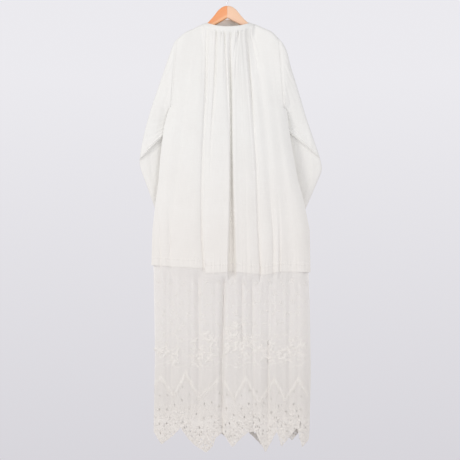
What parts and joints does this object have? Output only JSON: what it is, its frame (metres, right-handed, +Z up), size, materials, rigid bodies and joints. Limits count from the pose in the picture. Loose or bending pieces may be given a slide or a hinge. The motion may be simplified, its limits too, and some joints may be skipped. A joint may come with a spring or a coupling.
{
  "type": "long linen smock with a lace skirt on a wooden hanger",
  "caption": "Long white linen smock with a gathered neck, bent long sleeves and a pointed lace skirt, hung flat on a wooden hanger with a wire hook.",
  "frame": {"origin": "inside top of the hanger's hook, where it rests on a rail", "axes": "+Z up, +X to the right seen from the front, the front faces -Y"},
  "size_m": [0.6072, 0.089, 1.5389],
  "materials": {
    "linen": "matt washed linen, white",
    "lace": "matt cotton net with flowers, off-white",
    "wood": "satin lacquered light wood",
    "steel": "polished wire"
  },
  "bodies": {
    "root": {"neck_band": "linen", "front_panel": "linen", "back_panel": "linen", "sleeve_left": "linen", "sleeve_right": "linen", "lace_front": "lace", "lace_back": "lace", "hanger_arm_left": "wood", "hanger_arm_right": "wood", "hanger_hook": "steel"}
  },
  "joints": []
}
